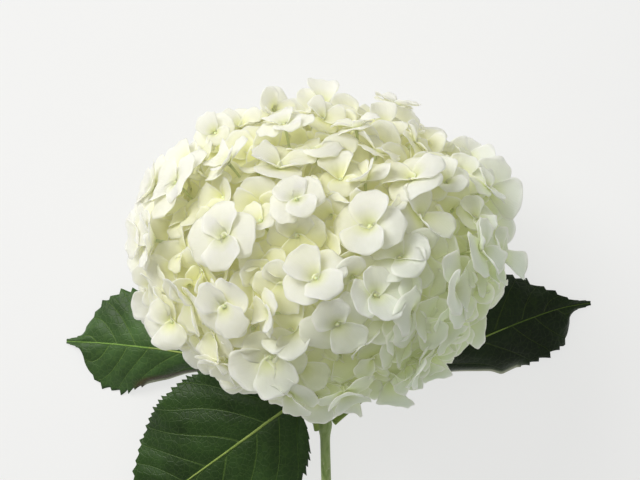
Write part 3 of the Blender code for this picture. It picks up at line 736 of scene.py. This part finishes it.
def add_bud(shape, floret):
    """A closed four-lobed bud in the middle of the sepals."""
    radius = BUD_RADIUS + 0.00018 * math.sin(floret["index"] * 2.3)
    points, maps = [], []
    for row in range(BUD_ROWS):
        fall = math.pi * (0.06 + 0.86 * row / (BUD_ROWS - 1))
        for side in range(BUD_SIDES):
            turn = 2 * math.pi * side / BUD_SIDES
            ring = radius * math.sin(fall) * (1 + 0.10 * math.cos(4 * turn))
            local = np.array((ring * math.cos(turn), ring * math.sin(turn),
                              BUD_HEIGHT + radius * 0.9 * math.cos(fall)))
            points.append(floret["middle"] + local @ floret["frame"])
            maps.append((row / (BUD_ROWS - 1), 0.5 + 0.5 * math.cos(4 * turn), 0))
    shape.add(eased_floor(np.array(points)), maps, tube_faces(BUD_ROWS, BUD_SIDES), 1)


def add_cluster(index, end, group, materials):
    shape = Shape()
    for floret in group:
        add_sepals(shape, floret)
        add_bud(shape, floret)
        normal = Vector(floret["frame"][2])
        start = Vector(floret["middle"]) + normal * 0.0008
        way = (start - end).normalized()
        arrival = normal.lerp(way, 0.4).normalized()
        path = eased_floor(np.array(bend(end, way, start, arrival, STALK_POINTS)))
        radii = STALK_RADIUS * (1 + 0.5 * np.abs(np.linspace(-1, 1, STALK_POINTS)) ** 4)
        add_tube(shape, path, radii, 7, 2)
    back = (BRANCHING - end).normalized()
    knuckle = [end + back * step for step, _ in KNUCKLE]
    add_tube(shape, knuckle, [radius for _, radius in KNUCKLE], 9, 2)
    shape.finish(f"florets_{index + 1:02d}", materials, "sepals", f"floret_cluster_{index + 1:02d}")


# ---- the stem ----

def add_stem(clusters, materials):
    shape = Shape()
    route = [GROUND + Vector(point) for point, _ in STEM_ROUTE]
    path = smooth_path(route, STEM_RINGS)
    radii = np.interp(np.linspace(0, 1, STEM_RINGS), np.linspace(0, 1, len(STEM_ROUTE)),
                      [radius for _, radius in STEM_ROUTE])
    joint = GROUND + Vector((0.0, -JOINT_AT, JOINT_HEIGHT))
    for place, swell, spread in ((joint, JOINT_SWELL, JOINT_SPREAD),
                                 (BRANCHING, BRANCHING_SWELL, BRANCHING_SPREAD)):
        gap = np.linalg.norm(path - np.array(place), axis=1)
        radii = radii + swell * np.exp(-(gap / spread) ** 2)
    add_tube(shape, path, radii, 28, 0)
    end_way = Vector(path[-1] - path[-2]).normalized()
    cap = [Vector(path[-1]) - end_way * 0.0002, Vector(path[-1]) + end_way * 0.00012]
    add_tube(shape, cap, (radii[-1] * 0.90, radii[-1] * 0.88), 24, 1)
    for group in ray_groups([end for end, _ in clusters]):
        middle = sum(group, Vector()) / len(group)
        fork = BRANCHING.lerp(middle, FORK_SHARE)
        way = (fork - BRANCHING).normalized()
        last = len(BRANCH_RADII) - 1
        branch = [BRANCHING.lerp(fork, step / last) for step in range(last + 1)]
        add_tube(shape, branch, BRANCH_RADII, 12, 0)
        for end in group:
            toward = (end - fork).normalized()
            leaving = way.lerp(toward, 0.7).normalized()
            add_tube(shape, bend(fork, leaving, end, toward, len(RAY_RADII)), RAY_RADII, 8, 0)
    shape.finish("stem_and_rays", materials, "stem_skin", "stem")


# ---- leaves ----

def leaf_grid(plan):
    """The blade's middle surface, what its material needs at each point, how far each point is
    rolled under, and the route of the stalk with the raised midrib."""
    spine = [GROUND + Vector(point) for point in plan["spine"]]
    path = smooth_path(spine, LEAF_ROUTE_POINTS)
    starts = int(plan["blade_from"] * (LEAF_ROUTE_POINTS - 1))
    blade = path[starts:]
    line = np.linspace(0, len(blade) - 1, LEAF_ROWS)
    places = np.stack([np.interp(line, np.arange(len(blade)), blade[:, axis]) for axis in range(3)], 1)
    along = np.linspace(0, 1, LEAF_ROWS)
    tangents = unit_rows(np.gradient(places, axis=0))
    sideways = unit_rows(np.cross((0, 0, 1.0), tangents))
    ups = np.cross(tangents, sideways)
    across = np.linspace(1, -1, LEAF_COLUMNS)
    side = np.abs(across)
    halves = []
    for edge in ("left_edge", "right_edge"):
        knots = np.array(plan[edge])
        half = np.interp(along, knots[:, 0], knots[:, 1]) / 1000
        for _ in range(EDGE_ROUNDS):
            half[1:-1] = half[1:-1] * 0.5 + (half[:-2] + half[2:]) * 0.25
        halves.append(half[:, None])
    on_left = across[None, :] > 0
    half = np.where(on_left, halves[0], halves[1])
    rolled_half = on_left if plan["rolled"] == "left" else ~on_left
    rolled = np.clip((ROLL_ENDS - along) / 0.08, 0, 1)[:, None] * rolled_half * bool(plan["rolled"])
    bite = along * plan["teeth"] + 0.5 * np.sin(along * 11 + 1.0) + 0.12 * np.sin(along * 37)
    saw = (bite - np.floor(bite)) ** 1.3 * (0.75 + 0.25 * np.sin(np.floor(bite) * 2.4))
    tooth = plan["tooth"] * saw[:, None] * np.minimum(1, half / 0.010)
    grown = half + tooth * (1 - rolled) * side ** 14
    left = np.radians(np.interp(along, (0, 1), plan["left"]))
    right = np.radians(np.interp(along, (0, 1), plan["right"]))
    rise = np.where(on_left, left[:, None], right[:, None])
    rise = rise + np.radians(10) * (1 - side[None, :])
    reach = grown * across[None, :]
    points = (places[:, None] + sideways[:, None] * (reach * np.cos(rise))[..., None]
              + ups[:, None] * (np.abs(reach) * np.sin(rise))[..., None])
    vein = (along[:, None] * (1 + 0.10 * np.sin(along * 9))[:, None]
            - 0.20 * side[None, :] ** 1.25 * (0.5 + half / plan["half_width"])) * plan["veins"]
    vein = vein + np.where(across > 0, 0.0, 0.42)[None, :]
    hollow = np.abs(vein - np.round(vein)) * 2
    scale = plan["half_width"] / 0.03
    taper = np.sin(np.clip(side, 0, 1) * np.pi) ** 0.7
    puff = QUILTING * scale * (hollow ** 0.6 - 0.5) * taper[None, :] * np.minimum(1, half / 0.012)
    wave = (EDGE_WAVE * scale * np.sin(along * 21 + 1.0)[:, None] * side[None, :] ** 2.5
            * np.where(across > 0, 1.0, -0.8)[None, :])
    groove = -MIDRIB_GROOVE * np.exp(-(np.abs(reach) / 0.0014) ** 2)
    rolled = rolled * np.clip((side[None, :] - 0.78) / 0.22, 0, 1)
    points = points + ups[:, None] * (puff + wave + groove - ROLL_DROP * rolled ** 2)[..., None]
    ribbed = np.abs(reach) * 1000 / (1 - 0.75 * along)[:, None]
    maps = np.stack((ribbed, side[None, :] + np.zeros_like(reach), vein + 20), axis=2)
    return points, maps, rolled, path[:starts + int(MIDRIB_SHARE * (LEAF_ROUTE_POINTS - starts))]


def add_leaf(name, plan, materials):
    shape = Shape()
    points, maps, rolled, rib = leaf_grid(plan)
    points[..., 2] = np.maximum(points[..., 2], 0.0005)
    add_sheet(shape, points, LEAF_THICK, maps, grid_faces(LEAF_ROWS, LEAF_COLUMNS), 0, rolled)
    scale = min(1.0, plan["half_width"] / 0.02)
    stalk = rib[::6]
    share = np.linspace(0, 1, len(stalk))
    radii = MIDRIB_RADIUS * scale * (1 - 0.8 * share ** 0.6)
    stalk = stalk - np.outer(np.minimum(1, share * 4) * radii * 0.75, (0, 0, 1.0))
    stalk[:, 2] = np.maximum(stalk[:, 2], radii + 0.0002)
    add_tube(shape, stalk, radii, 14, 1)
    shape.finish(name.replace("_leaf", "_blade"), materials, "leaf_blade", name)


# ---- materials ----

class Nodes:
    """A small helper that builds a node material."""

    def __init__(self, name):
        self.material = bpy.data.materials.new(name)
        self.material.use_nodes = True
        self.tree = self.material.node_tree
        self.shader = self.tree.nodes["Principled BSDF"]

    def add(self, kind, **settings):
        node = self.tree.nodes.new(kind)
        for key, value in settings.items():
            setattr(node, key, value)
        return node

    def link(self, source, target):
        self.tree.links.new(source, target)

    def put(self, value, socket):
        """Gives a socket a number, a colour or the output of another node."""
        if isinstance(value, (int, float)):
            socket.default_value = value
        elif isinstance(value, tuple):
            socket.default_value = (*value, 1.0)
        else:
            self.link(value, socket)

    def math(self, operation, first, second, clamp=False):
        node = self.add("ShaderNodeMath", operation=operation, use_clamp=clamp)
        self.put(first, node.inputs[0])
        self.put(second, node.inputs[1])
        return node.outputs[0]

    def times(self, first, second):
        return self.math("MULTIPLY", first, second)

    def mix(self, factor, first, second, blend="MIX"):
        node = self.add("ShaderNodeMix", data_type="RGBA", blend_type=blend)
        for index, value in ((0, factor), (6, first), (7, second)):
            self.put(value, node.inputs[index])
        return node.outputs[2]

    def tint(self, factor, base, colour):
        """The base multiplied by a colour, where the factor says so."""
        return self.mix(factor, base, self.mix(1.0, base, colour, "MULTIPLY"))

    def ramp(self, factor, stops):
        node = self.add("ShaderNodeValToRGB")
        elements = node.color_ramp.elements
        while len(elements) < len(stops):
            elements.new(0.5)
        for element, (position, colour) in zip(elements, stops):
            element.position = position
            element.color = (*colour, 1.0)
        self.link(factor, node.inputs[0])
        return node.outputs[0]

    def shape_map(self):
        """The three numbers that each point carries."""
        attribute = self.add("ShaderNodeAttribute", attribute_name="shape")
        split = self.add("ShaderNodeSeparateXYZ")
        self.link(attribute.outputs["Vector"], split.inputs[0])
        return split.outputs

    def place(self):
        """The place on the object, as a vector and as its x, y and z."""
        coordinates = self.add("ShaderNodeTexCoord")
        split = self.add("ShaderNodeSeparateXYZ")
        self.link(coordinates.outputs["Object"], split.inputs[0])
        return coordinates.outputs["Object"], split.outputs

    def noise(self, vector, scale, detail=2.0, stretch=None):
        if stretch:
            mapping = self.add("ShaderNodeMapping")
            mapping.inputs["Scale"].default_value = stretch
            self.link(vector, mapping.inputs["Vector"])
            vector = mapping.outputs[0]
        node = self.add("ShaderNodeTexNoise")
        node.inputs["Scale"].default_value = scale
        node.inputs["Detail"].default_value = detail
        self.link(vector, node.inputs["Vector"])
        return node.outputs[0]

    def join(self, x, y, z):
        node = self.add("ShaderNodeCombineXYZ")
        for socket, value in zip(node.inputs, (x, y, z)):
            self.put(value, socket)
        return node.outputs[0]

    def bump(self, height, strength, distance):
        node = self.add("ShaderNodeBump")
        node.inputs["Strength"].default_value = strength
        node.inputs["Distance"].default_value = distance
        self.link(height, node.inputs["Height"])
        self.link(node.outputs[0], self.shader.inputs["Normal"])

    def set(self, **values):
        for name, value in values.items():
            self.shader.inputs[name.replace("_", " ")].default_value = value

    def colour(self, source):
        self.link(source, self.shader.inputs["Base Color"])
        return self.material


def sepal_material():
    nodes = Nodes("sepal")
    share, rim, fan = nodes.shape_map()
    place, (x, y, _) = nodes.place()
    base = nodes.ramp(share, ((0.0, (0.50, 0.60, 0.12)), (0.12, (0.70, 0.76, 0.30)),
                              (0.28, (0.85, 0.87, 0.61)), (0.50, (0.91, 0.905, 0.825)),
                              (1.0, (0.93, 0.925, 0.895))))
    # Painted depth shade: sepals deep in the head turn yellow-green, standing for light that passes
    # through the sepals into the shade between them.
    depth = nodes.add("ShaderNodeAttribute", attribute_name="depth").outputs["Fac"]
    base = nodes.mix(nodes.times(depth, 0.85), base, (0.91, 0.92, 0.38))
    # Painted shade: the sepals are made cooler and darker towards the lower right of the head, away from
    # the key light.
    aside = nodes.math("SUBTRACT", x, nodes.math("SUBTRACT", y, 0.08))
    base = nodes.tint(nodes.math("MULTIPLY", aside, 9.0, True), base, (0.67, 0.83, 0.76))
    # Painted shade: the sepals are made darker towards the head's foot, by the stem.
    painted_shade_near_foot = nodes.math("SUBTRACT", 0.055, y)
    base = nodes.tint(nodes.math("MULTIPLY", painted_shade_near_foot, 16.0, True), base, (0.84, 0.85, 0.78))
    patches = nodes.noise(place, 22, 2)
    base = nodes.tint(nodes.times(patches, 0.5), base, (0.97, 0.965, 0.85))
    streaks = nodes.noise(nodes.join(fan, share, 0.0), 3.0, 3, (9.0, 1.2, 1.0))
    base = nodes.mix(nodes.times(streaks, 0.16), base, (0.66, 0.70, 0.42))
    edge = nodes.math("POWER", rim, 12)
    base = nodes.mix(nodes.times(edge, 0.6), base, (0.96, 0.95, 0.88))
    nodes.bump(streaks, 0.35, 0.0003)
    # The sepals also glow with a faint painted light of their own, standing for light that passes
    # through them.
    nodes.set(Roughness=0.62, Subsurface_Weight=0.75, Subsurface_Scale=0.003,
              Subsurface_Radius=(1.0, 1.0, 0.85), Specular_IOR_Level=0.35,
              Emission_Color=(1.0, 0.97, 0.74, 1.0), Emission_Strength=0.06)
    return nodes.colour(base)


def bud_material():
    nodes = Nodes("bud")
    share, lobes, _ = nodes.shape_map()
    base = nodes.ramp(share, ((0.0, (0.70, 0.74, 0.46)), (0.5, (0.62, 0.68, 0.34)),
                              (1.0, (0.42, 0.50, 0.16))))
    base = nodes.mix(nodes.times(lobes, 0.35), base, (0.78, 0.80, 0.56))
    place, _ = nodes.place()
    nodes.bump(nodes.noise(place, 900, 2), 0.3, 0.0002)
    nodes.set(Roughness=0.5, Subsurface_Weight=0.2, Subsurface_Scale=0.001)
    return nodes.colour(base)


def stalk_material():
    nodes = Nodes("stalk")
    share, _, _ = nodes.shape_map()
    place, _ = nodes.place()
    base = nodes.ramp(share, ((0.0, (0.50, 0.60, 0.24)), (1.0, (0.80, 0.84, 0.52))))
    base = nodes.mix(nodes.times(nodes.noise(place, 300, 2), 0.4), base, (0.36, 0.46, 0.16))
    nodes.bump(nodes.noise(place, 1200, 2), 0.3, 0.0002)
    nodes.set(Roughness=0.55)
    return nodes.colour(base)


def stem_material():
    nodes = Nodes("stem_skin")
    place, _ = nodes.place()
    streaks = nodes.noise(place, 90, 3, (6.0, 0.5, 6.0))
    base = nodes.ramp(streaks, ((0.25, (0.20, 0.30, 0.08)), (0.5, (0.34, 0.46, 0.16)),
                                (0.75, (0.44, 0.54, 0.24))))
    dots = nodes.noise(place, 700, 1, (1.0, 0.45, 1.0))
    pale = nodes.math("GREATER_THAN", dots, 0.68)
    base = nodes.mix(nodes.times(pale, 0.5), base, (0.62, 0.62, 0.40))
    nodes.bump(nodes.math("ADD", streaks, nodes.times(pale, 0.6)), 0.4, 0.0004)
    nodes.set(Roughness=0.48)
    return nodes.colour(base)


def mottled_material(name, scale, dark, light, grain, strength, roughness):
    """Two colours that pass into each other in patches, over a fine grain."""
    nodes = Nodes(name)
    place, _ = nodes.place()
    base = nodes.ramp(nodes.noise(place, scale, 3), ((0.3, dark), (0.7, light)))
    nodes.bump(nodes.noise(place, *grain), strength, 0.0003)
    nodes.set(Roughness=roughness)
    return nodes.colour(base)


def leaf_material(name, plan):
    nodes = Nodes(name)
    flesh, vein, fold = plan["flesh"], plan["vein"], plan.get("fold")
    rib, side, count = nodes.shape_map()
    place, _ = nodes.place()
    patches = nodes.noise(place, 45, 3)
    dark = tuple(channel * 0.62 for channel in flesh)
    light = tuple(min(1.0, channel * 1.45 + 0.004) for channel in flesh)
    base = nodes.ramp(patches, ((0.3, dark), (0.55, flesh), (0.8, light)))
    gap = nodes.math("PINGPONG", count, 0.5)
    width = nodes.math("SUBTRACT", 0.050, nodes.times(side, 0.030))
    side_vein = nodes.math("SUBTRACT", 1.0, nodes.math("DIVIDE", gap, width), True)
    midrib = nodes.math("MULTIPLY", nodes.math("SUBTRACT", 0.85, rib), 2.5, True)
    cells = nodes.add("ShaderNodeTexVoronoi", feature="DISTANCE_TO_EDGE")
    cells.inputs["Scale"].default_value = 330
    nodes.link(place, cells.inputs["Vector"])
    net = nodes.math("SUBTRACT", 1.0, nodes.math("MULTIPLY", cells.outputs["Distance"], 9), True)
    base = nodes.mix(nodes.times(net, 0.16), base, vein)
    base = nodes.mix(nodes.times(side_vein, 0.75), base, vein)
    base = nodes.mix(nodes.times(midrib, 0.95), base, tuple(c * 1.9 for c in vein))
    if fold:
        rolled = nodes.add("ShaderNodeAttribute", attribute_name="depth").outputs["Fac"]
        underside = nodes.ramp(rolled, ((0.35, fold[0]), (0.62, fold[1]), (0.80, FOLD_RIM)))
        base = nodes.mix(nodes.math("MULTIPLY", rolled, 3.0, True), base, underside)
    height = nodes.math("ADD", nodes.times(net, -0.5), nodes.times(side_vein, -1.0))
    nodes.bump(height, 0.5, 0.0004)
    nodes.set(Roughness=0.46, Specular_IOR_Level=0.28)
    return nodes.colour(base)


def floor_material():
    nodes = Nodes("pale_floor")
    place, _ = nodes.place()
    base = nodes.ramp(nodes.noise(place, 3, 2), ((0.3, (0.20, 0.20, 0.205)), (0.7, (0.22, 0.22, 0.225))))
    nodes.set(Roughness=0.8, Specular_IOR_Level=0.2, Emission_Color=(1.0, 1.0, 0.99, 1.0),
              Emission_Strength=0.70)
    return nodes.colour(base)


# ---- floor, light and camera ----

def add_floor():
    mesh = bpy.data.meshes.new("floor")
    square = ((-1, -1), (1, -1), (1, 1), (-1, 1))
    corners = [(x * FLOOR_REACH, y * FLOOR_REACH, 0) for x, y in square]
    mesh.from_pydata(corners, [], [(0, 1, 2, 3)])
    mesh.materials.append(floor_material())
    floor = placed("floor", mesh)


def add_light(name, place, aim, size, power, colour):
    data = bpy.data.lights.new(name, "AREA")
    data.shape = "DISK"
    data.size = size
    data.energy = power
    data.color = colour
    light = placed(name, data)
    light.location = place
    light.rotation_euler = (Vector(aim) - Vector(place)).to_track_quat("-Z", "Y").to_euler()


def add_lights():
    world = bpy.data.worlds.new("studio")
    world.use_nodes = True
    background = world.node_tree.nodes["Background"]
    background.inputs["Color"].default_value = WORLD_LIGHT
    background.inputs["Strength"].default_value = WORLD_STRENGTH
    bpy.context.scene.world = world
    for lamp in LAMPS:
        add_light(*lamp)


def add_camera():
    """Straight over the head, as far away as a photographer's portrait lens would be."""
    data = bpy.data.cameras.new("camera")
    data.sensor_width = CAMERA_SENSOR
    data.lens = CAMERA_LENS
    camera = placed("camera", data)
    aside_x, aside_y = CAMERA_ASIDE
    camera.location = (HEAD_CENTRE.x + aside_x, HEAD_CENTRE.y + aside_y, CAMERA_HEIGHT)
    bpy.context.scene.camera = camera


def build():
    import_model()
    florets = floret_plan()
    clusters = cluster_plan(florets)
    for floret in deep_florets(florets):
        gaps = [min((floret["place"] - other["place"]).length for other in group)
                for _, group in clusters]
        clusters[gaps.index(min(gaps))][1].append(floret)
    everything = [floret for _, group in clusters for floret in group]
    for floret in everything:
        floret["sepals"] = grown_sepals(floret)
    press_apart(everything)
    floret_materials = (sepal_material(), bud_material(), stalk_material())
    for index, (end, group) in enumerate(clusters):
        add_cluster(index, end, group, floret_materials)
    pith = mottled_material("cut_end", 700, (0.52, 0.56, 0.30), (0.78, 0.78, 0.56),
                            (2500, 2), 0.5, 0.75)
    petiole = mottled_material("petiole", 120, (0.22, 0.33, 0.06), (0.38, 0.48, 0.12),
                               (120, 3), 0.3, 0.5)
    add_stem(clusters, (stem_material(), pith))
    for name, plan in LEAVES.items():
        add_leaf(name, plan, (leaf_material(name, plan), petiole))
    add_floor()
    add_lights()
    add_camera()
    bpy.context.scene.view_settings.view_transform = "Standard"


build()
